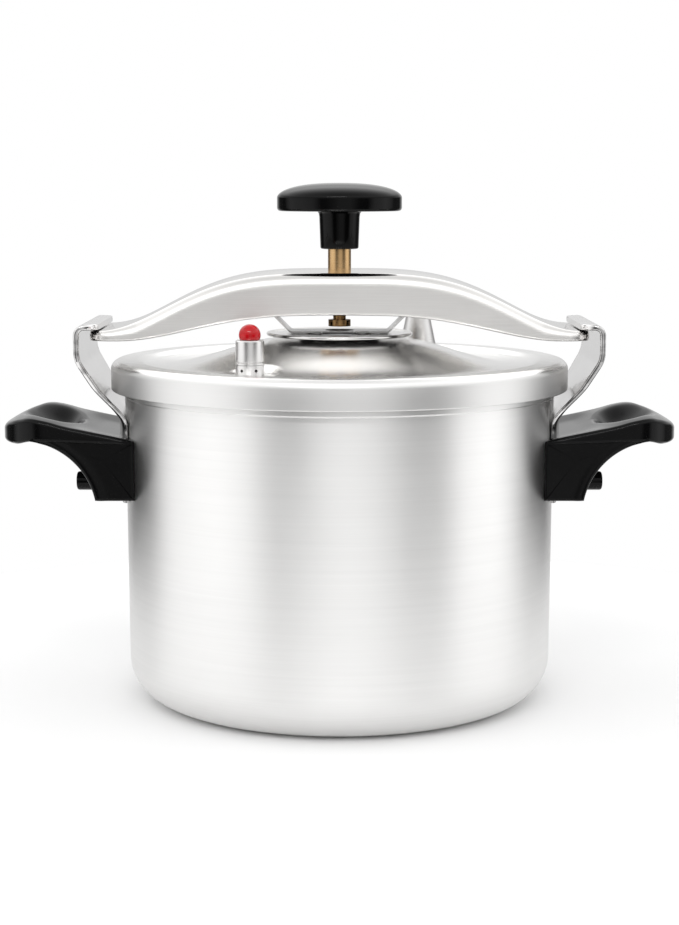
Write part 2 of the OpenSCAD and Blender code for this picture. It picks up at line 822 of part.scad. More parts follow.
module screw_spindle() {
  groove_z = foot_z + foot_h - 1.6;
  color("goldenrod") difference() {
    union() {
      translate([0, 0, foot_z + 1.4]) cylinder(r = neck_pin_r, h = pin_top_z - foot_z);
      translate([0, 0, pin_top_z]) cylinder(r = screw_r, h = head_z - pin_top_z + 1);
      translate([0, 0, head_z]) cylinder(r = head_r, h = head_h, $fn = 6);
    }
    tube(neck_pin_r + 1, neck_pin_r - 0.7, groove_z, groove_z + 0.7);
  }
}

module screw_foot() {
  groove_z = foot_z + foot_h - 1.6;
  color("goldenrod") difference() {
    translate([0, 0, foot_z]) cylinder(r = foot_r, h = foot_h);
    translate([0, 0, foot_z + 1.4 - run_gap]) cylinder(r = neck_pin_r + run_gap, h = foot_h);
    translate([0, 0, groove_z - run_gap])
      cylinder(r = neck_pin_r + 0.9, h = 0.7 + 2 * run_gap);
  }
}

module foot_ring() {
  groove_z = foot_z + foot_h - 1.6;
  color("lightgrey") tube(neck_pin_r + 0.75, neck_pin_r - 0.7 + fixed_gap, groove_z + fixed_gap,
    groove_z + 0.7 - fixed_gap);
}

module knob() {
  side_z = knob_disc_z + knob_edge_h;
  bore = screw_r + fixed_gap;
  crown_r = (knob_r * knob_r + knob_crown * knob_crown) / (2 * knob_crown);
  dome = [for (i = [8:-1:0]) let (x = (knob_r - 2.5) * i / 8)
    [x, side_z + knob_crown - crown_r + sqrt(crown_r * crown_r - x * x)]];
  edge = [for (i = [0:4]) let (a = 22.5 * i)
    [knob_r - 2 + 2 * cos(a), side_z - 2 + 2 * sin(a) - 0.4]];
  color([0.05, 0.05, 0.05]) difference() {
    rotate_extrude($fn = 180) polygon(concat(
      [[0, knob_low_z], [neck_d / 2 - 1.2, knob_low_z], [neck_d / 2 - 0.6, knob_low_z + 0.8],
        [neck_d / 2, knob_disc_z], [knob_r - 0.8, knob_disc_z], [knob_r, knob_disc_z + 0.8]],
      edge, dome));
    translate([0, 0, knob_low_z - 1]) cylinder(r = bore, h = head_z - knob_low_z + 1.5);
    translate([0, 0, head_z - fixed_gap])
      cylinder(r = head_r + fixed_gap * 2, h = head_h + 2 * fixed_gap, $fn = 6);
  }
}

pot_body();
hook_left();
hook_right();
hook_rivets_left();
hook_rivets_right();
handle_left();
handle_right();
handle_bolt_left();
handle_bolt_right();
weld_nut_left();
weld_nut_right();
lid_shell();
lid_gasket();
centre_disc();
disc_rivets();
valve_stem();
valve_washer();
valve_nut();
valve_body();
valve_spring();
valve_piston();
valve_cap();
safety_body();
safety_washer();
safety_nut();
safety_spring();
safety_plunger();
bridge();
bridge_bush();
bridge_clip();
screw_spindle();
screw_foot();
foot_ring();
knob();
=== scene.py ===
import math

import bmesh
import bpy
import numpy as np
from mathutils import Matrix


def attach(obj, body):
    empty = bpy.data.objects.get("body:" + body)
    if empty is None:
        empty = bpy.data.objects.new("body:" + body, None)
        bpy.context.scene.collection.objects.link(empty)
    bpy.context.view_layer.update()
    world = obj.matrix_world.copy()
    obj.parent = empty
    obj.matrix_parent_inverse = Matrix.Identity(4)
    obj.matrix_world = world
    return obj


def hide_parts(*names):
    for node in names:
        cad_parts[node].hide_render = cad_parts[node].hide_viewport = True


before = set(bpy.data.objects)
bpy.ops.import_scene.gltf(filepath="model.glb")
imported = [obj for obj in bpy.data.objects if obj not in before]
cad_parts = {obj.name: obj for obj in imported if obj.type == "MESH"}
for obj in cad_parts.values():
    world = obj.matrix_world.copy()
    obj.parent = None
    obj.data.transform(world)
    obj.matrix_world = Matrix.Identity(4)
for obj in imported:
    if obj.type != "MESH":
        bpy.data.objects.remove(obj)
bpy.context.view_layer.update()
MM = 0.001


# ---- Pot ----
# Spun and turned from aluminium, brushed round and round on the outside. The rim has a thicker
# turned band, and the inside is left with coarser turning marks.


class Wire:
    """A shader socket that can be used in arithmetic; each operation adds one Math node."""

    def __init__(self, tree, socket):
        self.tree = tree
        self.socket = socket

    def node(self, kind, inputs=None, out=0, stops=None, **settings):
        """Adds any other node: settings first, then its sockets' values or links."""
        n = self.tree.nodes.new("ShaderNode" + kind)
        for key, value in settings.items():
            setattr(n, key, value)
        if stops:
            ramp = n.color_ramp
            for i, (place, colour) in enumerate(stops):
                stop = ramp.elements[i] if i < 2 else ramp.elements.new(place)
                stop.position = place
                stop.color = colour if len(colour) == 4 else (*colour, 1)
        for key, value in (inputs or {}).items():
            if isinstance(value, Wire):
                self.tree.links.new(value.socket, n.inputs[key])
            else:
                n.inputs[key].default_value = value
        return Wire(self.tree, n.outputs[out])

    def maths(self, operation, a, b=0.0):
        return self.node("Math", {0: a, 1: b}, operation=operation)

    def __add__(self, other):
        return self.maths("ADD", self, other)

    __radd__ = __add__

    def __sub__(self, other):
        return self.maths("SUBTRACT", self, other)

    def __rsub__(self, other):
        return self.maths("SUBTRACT", other, self)

    def __mul__(self, other):
        return self.maths("MULTIPLY", self, other)

    __rmul__ = __mul__

    def __truediv__(self, other):
        return self.maths("DIVIDE", self, other)

    def root(self):
        return self.maths("SQRT", self)

    def size(self):
        """The value without its sign."""
        return self.maths("ABSOLUTE", self)

    def axis(self, name):
        return self.node("SeparateXYZ", {0: self}, out="XYZ".index(name))

    def stretched(self, x, y, z):
        """The same place with its axes stretched, for a pattern that is longer one way."""
        return self.node("Mapping", {"Vector": self, "Scale": (x, y, z)})

    def noise(self, scale, detail=4.0, roughness=0.55):
        return self.node("TexNoise", {"Vector": self, "Scale": scale, "Detail": detail,
                                      "Roughness": roughness})

    def ramp(self, *stops):
        return self.node("ValToRGB", {0: self}, stops=stops)

    def step(self, edge0, edge1):
        """Smooth rise from 0 at edge0 to 1 at edge1."""
        return self.node("MapRange", {"Value": self, "From Min": edge0, "From Max": edge1},
                         interpolation_type="SMOOTHSTEP")

    def mixed(self, a, b):
        """Colour a where the wire is 0, colour b where it is 1."""
        return self.node("Mix", {0: self, 6: a, 7: b}, out=2, data_type="RGBA")


class Finish:
    """A material with one Principled shader. place reads the piece's own coordinates in metres."""

    def __init__(self, name, **constants):
        self.material = bpy.data.materials.new(name)
        self.material.use_nodes = True
        tree = self.material.node_tree
        self.shader = tree.nodes["Principled BSDF"]
        for key, value in constants.items():
            self.shader.inputs[key.replace("_", " ")].default_value = value
        self.place = Wire(tree, tree.nodes.new("ShaderNodeTexCoord").outputs["Object"])

    def feed(self, **wires):
        for key, wire in wires.items():
            self.place.tree.links.new(wire.socket, self.shader.inputs[key.replace("_", " ")])

    def bump(self, height, strength, distance):
        self.feed(Normal=self.place.node("Bump", {"Strength": strength, "Distance": distance,
                                                  "Height": height}))

    def put_on(self, *objects):
        for o in objects:
            o.data.materials.clear()
            o.data.materials.append(self.material)


def round_corners(corners, steps=7):
    """Outline from (a, b, radius) corners: each corner becomes an arc of that radius, tangent to
    both sides. Corners of radius 0 stay sharp. The outline is a closed one."""
    corners = [np.array(c, float) for c in corners]
    out = []
    for i, c in enumerate(corners):
        p, r = c[:2], c[2]
        if r <= 0:
            out.append(p[None])
            continue
        u = corners[i - 1][:2] - p
        w = corners[(i + 1) % len(corners)][:2] - p
        u, w = u / np.linalg.norm(u), w / np.linalg.norm(w)
        half = math.acos(np.clip(u @ w, -1, 1)) / 2
        centre = p + (u + w) / np.linalg.norm(u + w) * r / math.sin(half)
        s, e = p + u * r / math.tan(half) - centre, p + w * r / math.tan(half) - centre
        turn = math.atan2(s[0] * e[1] - s[1] * e[0], s @ e)
        a = math.atan2(s[1], s[0]) + turn * np.linspace(0, 1, steps)
        out.append(centre + r * np.stack([np.cos(a), np.sin(a)], 1))
    return np.concatenate(out)


def make_piece(name, points, quads, triangles=(), smooth_deg=32):
    """A mesh object from arrays of points in millimetres and of faces."""
    mesh = bpy.data.meshes.new(name)
    faces = np.asarray(quads, int).tolist() + [list(t) for t in triangles]
    mesh.from_pydata(np.asarray(points) * MM, [], faces)
    mesh.shade_smooth()
    mesh.set_sharp_from_angle(angle=math.radians(smooth_deg))
    mesh.validate()
    o = bpy.data.objects.new(name, mesh)
    bpy.context.scene.collection.objects.link(o)
    return o


def turned(name, profile, steps=256, closed=False, centre=(0, 0), smooth_deg=32):
    """A turned piece: (r, z) runs anticlockwise round its half-section, and the surface is
    (cx + r cos t, cy + r sin t, z). A point at r = 0 is one single vertex."""
    r, z = np.asarray(profile, float).T
    ring = r > 1e-6
    count = np.where(ring, steps, 1)
    start = np.cumsum(count) - count
    row = np.repeat(np.arange(len(r)), count)
    angle = 2 * math.pi * (np.arange(count.sum()) - start[row]) / steps
    points = np.stack([centre[0] + r[row] * np.cos(angle), centre[1] + r[row] * np.sin(angle),
                       z[row]], 1)
    index = start[:, None] + np.where(ring[:, None], np.arange(steps)[None], 0)
    near, far = (index, np.roll(index, -1, 0)) if closed else (index[:-1], index[1:])
    quads = np.stack([near, np.roll(near, -1, 1), np.roll(far, -1, 1), far], -1)
    both = (ring & np.roll(ring, -1))[: len(near)]
    first = (~ring & np.roll(ring, -1))[: len(near)]
    last = (ring & ~np.roll(ring, -1))[: len(near)]
    tips = np.concatenate([quads[first][..., [0, 2, 3]].reshape(-1, 3),
                           quads[last][..., [0, 1, 2]].reshape(-1, 3)])
    return make_piece(name, points, quads[both].reshape(-1, 4), tips, smooth_deg)


rim_r, band_z, pot_h = 120.0, 170.0, 181.0
wall_x, wall_t, base_t = 119.2, 2.6, 4.0


def wall_radius(z):
    """The wall's outside radius grows evenly from 118.2 at the table to 119.2 at the rim band."""
    return wall_x - (1 - z / band_z)


pot_profile = round_corners([
    (0, 0, 0), (wall_radius(0), 0, 24), (wall_radius(band_z), band_z, 0.3),
    (rim_r, band_z + 0.8, 0.3),
    (rim_r, pot_h, 0.8), (rim_r - 3.4, pot_h, 0.8), (wall_x - wall_t, band_z - 2, 0.5),
    (118.2 - wall_t, base_t, 21.4), (0, base_t, 0)], steps=14)
pot = turned("pot", pot_profile, steps=360)

brushed = Finish("brushed_aluminium", Metallic=1.0, Anisotropic=0.8, Anisotropic_Rotation=0.25)
place = brushed.place
height = place.axis("Z")
fine_rings = place.stretched(3, 3, 2600).noise(1.0, 6, 0.7)
long_rings = place.stretched(9, 9, 420).noise(1.0, 3, 0.5)
clouds = place.noise(14.0, 3)
patches = place.stretched(1, 1, 0.35).noise(38.0, 2)
tone = fine_rings * 0.08 + long_rings * 0.06 + clouds * 0.05 + 0.80
foot_shade = 1.0 - height.step(0.030, 0.004) * 0.12
tone = tone * foot_shade
brushed.feed(Base_Color=tone.ramp((0.0, (0.0, 0.0, 0.0)), (1.0, (1.0, 0.995, 0.985))),
             Roughness=fine_rings * 0.12 + patches * 0.08 + 0.30)
brushed.bump(fine_rings * 0.7 + long_rings * 0.3, 0.10, 0.00012)
brushed.put_on(pot)
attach(pot, "pot")
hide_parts("pot_body")


# ---- Hooks ----
# Two bent steel straps, chromed. Each is riveted to the wall, leans out, stands up and ends in a
# lip that the bridge turns under. The foot follows the round wall.


def smooth_path(corners, spacing=1.2, steps=12):
    """An open path from (x, z, radius) corners with arcs at the corners, in even short steps."""
    first, last = np.array(corners[0][:2], float), np.array(corners[-1][:2], float)
    inner = round_corners(corners, steps)[1:-1]
    p = np.concatenate([first[None], inner, last[None]])
    length = np.concatenate([[0], np.cumsum(np.linalg.norm(np.diff(p, axis=0), axis=1))])
    even = np.linspace(0, length[-1], int(length[-1] / spacing) + 1)
    return np.stack([np.interp(even, length, p[:, 0]), np.interp(even, length, p[:, 1])], 1), even


def strap(name, path, half_width, thickness, edge_r, shift=None, steps=5, across=28):
    """A flat strap along a path in X and Z. At each path point its cross-section is a rounded
    rectangle, half_width wide each way along Y and thickness deep along the path's normal;
    shift(y) moves a point along X. Both ends are closed."""
    n = len(path)
    t = np.gradient(path, axis=0)
    t /= np.linalg.norm(t, axis=1)[:, None]
    normal = np.stack([-t[:, 1], t[:, 0]], 1)
    h = thickness / 2
    a = np.linspace(0, math.pi / 2, steps)
    span = np.linspace(-1, 1, across)
    # right half of the section's edge, from the upper face to the lower face
    edge_y = -edge_r + edge_r * np.sin(a)
    edge_n = h - edge_r + edge_r * np.cos(a)
    w = half_width[:, None]
    top_y = span[None, 1:-1] * (w - edge_r)
    k = top_y.shape[1]
    right_up = w + edge_y[None]
    ys = np.concatenate([top_y, right_up, right_up[:, ::-1], top_y[:, ::-1], -right_up,
                         -right_up[:, ::-1]], 1)
    up = np.broadcast_to(edge_n[None], (n, steps))
    flat = np.full((n, k), h)
    ns = np.concatenate([flat, up, -up[:, ::-1], -flat, -up, up[:, ::-1]], 1)
    x = path[:, :1] + ns * normal[:, :1]
    z = path[:, 1:] + ns * normal[:, 1:]
    if shift is not None:
        x = x + shift(ys, z)
    points = np.stack([x, ys, z], -1)
    m = points.shape[1]
    index = np.arange(n * m).reshape(n, m)
    a0, a1 = index[:-1], index[1:]
    quads = np.stack([a0, np.roll(a0, -1, 1), np.roll(a1, -1, 1), a1], -1).reshape(-1, 4)
    caps = [index[0][::-1].tolist(), index[-1].tolist()]
    return make_piece(name, points.reshape(-1, 3), quads, caps)


hook_top, strap_x, lip_tip_x, hook_t = 211.1, 143.0, 130.0, 3.0
foot_low = 113.0
slant = math.radians(31)
foot_x = wall_x + hook_t / 2 + 0.1
bend_z = hook_top - 19
meet_z = bend_z - (strap_x - hook_t / 2 - foot_x) / math.tan(slant)
hook_path, hook_s = smooth_path([
    (lip_tip_x, hook_top - hook_t / 2, 0), (strap_x - hook_t / 2, hook_top - hook_t / 2, 4.2),
    (strap_x - hook_t / 2, bend_z, 16), (foot_x, meet_z, 14), (foot_x - 0.25, foot_low, 0)],
    spacing=0.9)
# half the width: drawn in from the mouth to the foot, with a round at the lip's tip
foot_half, mouth_half, narrow_z, tip_r = 32, 42, 153, 10
hook_half = np.interp(hook_path[:, 1], [narrow_z, bend_z], [foot_half, mouth_half])
tip_run = np.clip(tip_r - hook_s, 0, tip_r)
hook_half = hook_half - (tip_r - np.sqrt(tip_r ** 2 - tip_run ** 2))


def follow_wall(y, z):
    """The foot bends round the wall: x changes by sqrt(R^2 - y^2) - R, fading out higher up."""
    r = wall_x + hook_t / 2
    fade = np.clip((178 - z) / (178 - meet_z), 0, 1)
    fade = fade * fade * (3 - 2 * fade)
    return (np.sqrt(r * r - y * y) - r) * fade + 0.15 * fade


hook_right = strap("hook_right_bent", hook_path, hook_half, hook_t, 1.1, follow_wall)


def mirrored(piece, name):
    """The left piece is the right one with x turned round; each face is reversed to match."""
    mesh = piece.data.copy()
    mesh.name = name
    co = np.zeros(len(mesh.vertices) * 3, np.float32)
    mesh.vertices.foreach_get("co", co)
    co[0::3] *= -1
    mesh.vertices.foreach_set("co", co)
    mesh.flip_normals()
    o = bpy.data.objects.new(name, mesh)
    bpy.context.scene.collection.objects.link(o)
    return o


hook_left = mirrored(hook_right, "hook_left_bent")
chrome = Finish("polished_steel", Metallic=1.0)
place = chrome.place
smears = place.stretched(1, 1, 2.2).noise(60.0, 4)
scratch = place.stretched(40, 900, 40).noise(1.0, 3, 0.7)
ripple = place.noise(34.0, 2)
# how far the strap's two long edges are from the middle at this height
rise_at = place.node("MapRange", {"Value": place.axis("Z"), "From Min": narrow_z * MM,
                                  "From Max": bend_z * MM, "To Min": foot_half * MM,
                                  "To Max": mouth_half * MM})
edge = (place.axis("Y").size() - rise_at).step(-0.0022, -0.0008)
# painted shade: the colour is darker along the strap's two long edges, in streaks from the smears
painted_edge_shade = edge * smears.step(0.35, 0.6) * 0.42
chrome.feed(Base_Color=(smears * 0.10 + 0.80 - painted_edge_shade).ramp((0, (0, 0, 0)), (1, (1.0, 0.99, 0.985))),
            Roughness=smears * 0.10 + scratch * 0.06 + 0.035)
chrome.bump(ripple * 0.8 + scratch * 0.03, 0.35, 0.0011)
chrome.put_on(hook_right, hook_left)
for side, hook in (("right", hook_right), ("left", hook_left)):
    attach(hook, "pot")
    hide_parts("hook_" + side)


# ---- Handles ----
# Black moulded phenolic, one piece each: a grip plate with a thumb hollow, two side cheeks, a
# bar at the pot and a boss for the bolt. Glossy, with very fine moulding texture.


def moulded_slab(outline, top, bottom, round_r, centre, rows=9):
    """A moulded plate: its plan is an outline run anticlockwise. The rim is a half-round band of
    radius round_r between top(x, y) and bottom(x, y), and each face is rings drawn to a centre.
    Returns points and faces."""
    o = np.asarray(outline, float)
    step = np.roll(o, -1, 0) - np.roll(o, 1, 0)
    out = np.stack([step[:, 1], -step[:, 0]], 1) / np.linalg.norm(step, axis=1)[:, None]
    a = np.linspace(0, math.pi / 2, 7)
    rings = []
    base = o - out * round_r
    pull = np.linspace(0, 1, rows)[1:-1]

    def ring(xy, z_of, drop):
        return np.column_stack([xy, z_of(xy[:, 0], xy[:, 1]) + drop])

    for s in pull[::-1]:
        rings.append(ring(base + (centre - base) * s, bottom, 0.0))
    for turn in a[::-1]:
        side = o - out * round_r * (1 - math.cos(turn))
        rings.append(ring(side, bottom, round_r * (1 - math.sin(turn))))
    for turn in a:
        side = o - out * round_r * (1 - math.cos(turn))
        rings.append(ring(side, top, -round_r * (1 - math.sin(turn))))
    for s in pull:
        rings.append(ring(base + (centre - base) * s, top, 0.0))
    c = np.array(centre, float)[None]
    points = np.concatenate([ring(c, bottom, 0.0)] + rings + [ring(c, top, 0.0)])
    m = len(o)
    index = 1 + np.arange(len(rings) * m).reshape(len(rings), m)
    a0, a1 = index[:-1], index[1:]
    quads = np.stack([a0, np.roll(a0, -1, 1), np.roll(a1, -1, 1), a1], -1).reshape(-1, 4)
    first, last = index[0], index[-1]
    low = np.stack([np.zeros(m, int), np.roll(first, -1), first], 1)
    high = np.stack([np.full(m, len(points) - 1), last, np.roll(last, -1)], 1)
    return points, quads, np.concatenate([low, high])


def join_parts(name, parts, smooth_deg=40):
    """One mesh from several closed (points, quads, triangles) parts."""
    points, quads, tris, at = [], [], [], 0
    for p, q, t in parts:
        points.append(p)
        quads.append(np.asarray(q) + at)
        tris.append(np.asarray(t) + at)
        at += len(p)
    return make_piece(name, np.concatenate(points), np.concatenate(quads),
                      np.concatenate(tris).tolist(), smooth_deg)


def resample(outline, spacing):
    """The same closed outline in even steps."""
    p = np.vstack([outline, outline[:1]])
    length = np.concatenate([[0], np.cumsum(np.linalg.norm(np.diff(p, axis=0), axis=1))])
    even = np.linspace(0, length[-1], int(length[-1] / spacing) + 1)[:-1]
    return np.stack([np.interp(even, length, p[:, 0]), np.interp(even, length, p[:, 1])], 1)


tip_x, grip_half, plate_z, grip_mid = wall_x + 67.5, 45.0, 150.1, wall_x + 41.0
wall_arc = np.radians(np.linspace(22.0, -22.0, 30))
grip_arc = np.radians(np.linspace(-90, 90, 60))
back = wall_x + 0.3
grip_plan = np.concatenate([
    np.stack([back * np.cos(wall_arc), back * np.sin(wall_arc)], 1),
    np.stack([grip_mid + 26.5 * np.cos(grip_arc), grip_half * np.sin(grip_arc)], 1)])
grip_plan = resample(grip_plan, 1.1)


def grip_top(x, y):
    """A ramp of slope 0.2 up to a crest 163 out, then a fall to the tip; a hollow is pressed in
    the middle and the face near the pot sinks a little between its edges."""
    crest = 160.4 - 0.0125 * np.clip(x - 164, 0, None) ** 2
    ramp = 149.9 + 0.209 * (x - 117)
    blend = np.clip((x - 150) / 22, 0, 1)
    line = ramp * (1 - blend ** 2) + crest * blend ** 2
    line = np.minimum(line, ramp + 0.3)
    rho = np.sqrt(((x - 158.5) / 16.0) ** 2 + (y / 31.0) ** 2)
    hollow = np.clip((1.10 - rho) / 0.62, 0, 1)
    hollow = hollow * hollow * (3 - 2 * hollow)
    flat = np.clip((147 - x) / 14, 0, 1) * np.clip(1 - (y / 41) ** 4, 0, 1)
    flat = flat * flat * (3 - 2 * flat)
    hump = np.exp(-((rho - 1.15) / 0.30) ** 2) * np.clip((x - 143) / 12, 0, 1)
    return line - 8.0 * hollow - 1.8 * flat + 0.9 * hump


def grip_under(x, y):
    """Flat at 146 near the pot, then the lip under the tip bulges down a little."""
    lip = np.clip((x - 166) / 10, 0, 1)
    lip = lip * lip * (3 - 2 * lip)
    return 146.4 + 0.035 * (x - 119) - 3.6 * lip * np.clip(1 - (y / 60) ** 2, 0, 1)


plate = moulded_slab(grip_plan, grip_top, grip_under, 2.3, (152.0, 0.0), rows=34)

arc_x, arc_z, arc_r, low_z = wall_x + 53, 108.0, 40.5, 115.8
arc_a = np.radians(np.linspace(180 - math.degrees(math.asin((low_z - arc_z) / arc_r)), 96, 40))
cheek_side = np.concatenate([
    [(wall_x - 8.4, low_z)],
    np.stack([arc_x + arc_r * np.cos(arc_a), arc_z + arc_r * np.sin(arc_a)], 1),
    [(arc_x - 6, plate_z + 1), (wall_x - 8.4, plate_z - 2)]])
cheek_side = resample(cheek_side, 1.2)


def cheek(sign):
    """A side cheek: the slab's outline lies in X and Z, and its thickness runs along Y. Its outer
    face is 0.7 behind the grip's edge, with a rounded bead along the hollow edge."""
    outer, inner = 44.3, 39.8
    bead = lambda x, z: np.exp(-((np.hypot(x - arc_x, z - arc_z) - arc_r - 3.2) / 1.9) ** 2)
    p, q, t = moulded_slab(cheek_side, lambda x, z: outer - 0.5 + 0.5 * bead(x, z),
                           lambda x, z: inner + 0 * x, 1.5, (128.0, 138.0), rows=14)
    points = np.stack([p[:, 0], p[:, 2] * sign, p[:, 1]], 1)
    if sign > 0:
        return points, q[:, ::-1], t[:, ::-1]
    return points, q, t


bar_out = 8.0
bar_arc = np.radians(np.linspace(-20.2, 20.2, 40))
bar_in = np.stack([(wall_x + 0.4) * np.cos(bar_arc), (wall_x + 0.4) * np.sin(bar_arc)], 1)
bar_end = 41.3
bar_plan = np.concatenate([[(wall_x + bar_out, bar_end)], bar_in[::-1],
                           [(wall_x + bar_out, -bar_end)]])
bar_plan = resample(bar_plan[::-1], 1.5)
bar = moulded_slab(bar_plan, lambda x, y: 126.8 + 0 * x, lambda x, y: low_z + 0.2 + 0 * x, 1.2,
                   (wall_x + 4.4, 0.0), rows=5)


boss_z = 120.7


def boss_part():
    """A round boss along X that holds the bolt, with a rounded end."""
    ring = np.radians(np.arange(48) * 7.5)
    section = [(wall_x + 2, 5.3), (146.2, 5.3), (147.1, 4.95), (147.5, 4.2), (147.5, 4.05),
               (144.4, 4.05), (144.4, 0.02)]
    pts = np.concatenate([np.column_stack([np.full(48, x), r * np.cos(ring),
                                           boss_z + r * np.sin(ring)]) for x, r in section])
    index = np.arange(len(section) * 48).reshape(len(section), 48)
    a0, a1 = index[:-1], index[1:]
    quads = np.stack([a0, np.roll(a0, -1, 1), np.roll(a1, -1, 1), a1], -1).reshape(-1, 4)
    caps = np.stack([np.full(46, 0), np.arange(2, 48), np.arange(1, 47)], 1)
    end = np.stack([np.full(46, index[-1][0]), index[-1][1:47], index[-1][2:48]], 1)
    return pts, quads, np.concatenate([caps, end])


handle_right = join_parts("handle_right_moulded", [plate, cheek(1), cheek(-1), bar, boss_part()])
handle_left = mirrored(handle_right, "handle_left_moulded")
phenolic = Finish("black_phenolic", Metallic=0.0, Specular_IOR_Level=0.12, Coat_Roughness=0.03)
place = phenolic.place
grain = place.noise(900.0, 3)
flow = place.noise(30.0, 4)
wear = place.noise(160.0, 5, 0.65)
phenolic.feed(Base_Color=(flow * 0.002 + wear * 0.002 + 0.001).ramp(
    (0, (0, 0, 0)), (1, (1, 1, 1.04))),
              Roughness=flow * 0.04 + wear * 0.04 + 0.045,
              Coat_Weight=flow * 0.06)
phenolic.bump(grain * 0.1 + flow * 0.6, 0.25, 0.0005)
phenolic.put_on(handle_right, handle_left)
for side, handle in (("right", handle_right), ("left", handle_left)):
    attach(handle, "pot")
    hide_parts("handle_" + side)


# ---- Lid ----
# Pressed from aluminium sheet. Its skirt is brushed round and round, its top edge is rolled and
# polished, and a ring channel runs round a polished dome. Two flat seats carry the valves.

lid_r, lid_t, lid_top, skirt_z = 126.8, 2.8, 189.9, 173.9
channel_z, dome_rise, dome_flat_r = 187.4, 13.6, 30.3
channel_in, channel_out, edge_flat = 97.0, 106.0, 112.5


def eased(u):
    """Smooth fall from 1 to 0: (1 + cos(pi u)) / 2, held flat outside 0 to 1."""
    return (1 + np.cos(math.pi * np.clip(u, 0, 1))) / 2


def lid_height(r):
    """The lid's upper face: the dome eases down to the channel, which eases up to the edge."""
    dome = channel_z + dome_rise * eased((r - dome_flat_r) / (channel_in - dome_flat_r))
    edge = lid_top - 2.5 * eased((r - channel_out) / (edge_flat - channel_out))
    return np.where(r <= channel_in, dome, edge)


seat_places = {"working": (-46.632, -74.628), "safety": (46.632, 74.628)}


def grid_faces(rows, columns):
    index = np.arange(rows * columns).reshape(rows, columns)
    a0, a1 = index[:-1], index[1:]
    return np.stack([a0, np.roll(a0, -1, 1), np.roll(a1, -1, 1), a1], -1).reshape(-1, 4), index


def seat_press(x, y, z):
    """Presses a flat round seat of radius 14 at channel height under each valve; the wall of the
    seat eases up to the dome over the next 3."""
    for cx, cy in seat_places.values():
        d = np.hypot(x - cx, y - cy)
        keep = np.clip((d - 13.6) / 2.6, 0, 1)
        keep = keep * keep * (3 - 2 * keep)
        z = channel_z + (z - channel_z) * keep
    return z


def lid_mesh():
    """Rings of growing radius over the top, down round the rolled edge and the skirt, and back
    under the sheet. The seats are pressed into the height."""
    steps = 400
    r_top = np.concatenate([np.linspace(0.8, 56, 20), np.linspace(56.7, channel_out, 75),
                            np.linspace(106.7, 121.6, 22)])
    r_under = np.concatenate([np.linspace(121.6, 108, 12), np.linspace(106.5, 58, 50),
                              np.linspace(55, 0.8, 12)])
    a = np.linspace(math.pi / 2, 0, 12)
    edge = np.stack([lid_r - 5 + 5 * np.cos(a), lid_top - 5 + 5 * np.sin(a)], 1)
    low = round_corners([(lid_r, 182, 0), (lid_r, skirt_z, 0.7), (lid_r - lid_t, skirt_z, 0.7),
                         (lid_r - lid_t, 184, 0)], 5)
    bend, under_z = 2.7, lid_top - lid_t
    inner = np.stack([lid_r - lid_t - bend + bend * np.cos(a[::-1]),
                      under_z - bend + bend * np.sin(a[::-1])], 1)
    prof_r = np.concatenate([r_top, edge[:, 0], low[:, 0], inner[:, 0], r_under])
    prof_z = np.concatenate([lid_height(r_top), edge[:, 1], low[:, 1], inner[:, 1],
                             lid_height(r_under) - lid_t])
    t = np.arange(steps) * 2 * math.pi / steps
    x = prof_r[:, None] * np.cos(t)
    y = prof_r[:, None] * np.sin(t)
    z = np.broadcast_to(prof_z[:, None], x.shape).copy()
    n_top = len(r_top)
    z[:n_top] = seat_press(x[:n_top], y[:n_top], z[:n_top])
    n_low = len(r_under)
    under = z[-n_low:]
    z[-n_low:] = np.minimum(seat_press(x[-n_low:], y[-n_low:], under + lid_t) - lid_t, under)
    quads, index = grid_faces(len(prof_r), steps)
    points = np.stack([x, y, z], -1).reshape(-1, 3)
    crown = channel_z + dome_rise
    tops = np.array([[0, 0, crown], [0, 0, crown - lid_t]])
    c0, c1 = len(points), len(points) + 1
    first, last = index[0], index[-1]
    up = np.stack([np.full(steps, c0), first, np.roll(first, -1)], 1)
    down = np.stack([np.full(steps, c1), np.roll(last, -1), last], 1)
    return np.vstack([points, tops]), quads[:, ::-1], np.concatenate([up, down])


p, q, t = lid_mesh()
lid = make_piece("lid", p, q, t, 40)

lid_finish = Finish("lid_aluminium", Metallic=1.0, Anisotropic=0.45, Anisotropic_Rotation=0.25)
place = lid_finish.place
x_at, y_at, height = place.axis("X"), place.axis("Y"), place.axis("Z")
radius = (x_at * x_at + y_at * y_at).root()
skirt = radius.step(0.1225, 0.1255) * height.step(0.1885, 0.1868)
rings_flat = radius.node("CombineXYZ", {0: radius * 1500, 1: height * 1500, 2: 0.0})
turning = rings_flat.noise(1.0, 5, 0.7)
fine = place.stretched(3, 3, 2600).noise(1.0, 6, 0.7)
cloud = place.noise(26.0, 4)
# painted shade: the upright skirt's colour is 0.10 darker than the top of the lid
tone = turning * 0.05 + fine * 0.05 * skirt + cloud * 0.06 + 0.84 - skirt * 0.10
lid_finish.feed(Base_Color=tone.ramp((0, (0, 0, 0)), (1, (1.0, 0.995, 0.985))),
                Roughness=skirt * 0.20 + turning * 0.08 + cloud * 0.06 + 0.15)
lid_finish.bump(turning * 0.4 + fine * skirt, 0.10, 0.00010)
lid_finish.put_on(lid)
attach(lid, "lid")
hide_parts("lid_shell")


# ---- Rubber ring ----
# A moulded black rubber ring under the lid. It presses on the pot's rim.

rubber = Finish("black_rubber", Metallic=0.0)
place = rubber.place
dust = place.noise(80.0, 5)
rubber.feed(Base_Color=(dust * 0.02 + 0.012).ramp((0, (0, 0, 0)), (1, (1, 1, 1))),
            Roughness=dust * 0.25 + 0.55)
rubber.bump(place.noise(1400.0, 2), 0.2, 0.0002)
rubber.put_on(*[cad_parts[n] for n in ("lid_gasket", "valve_washer", "safety_washer")])


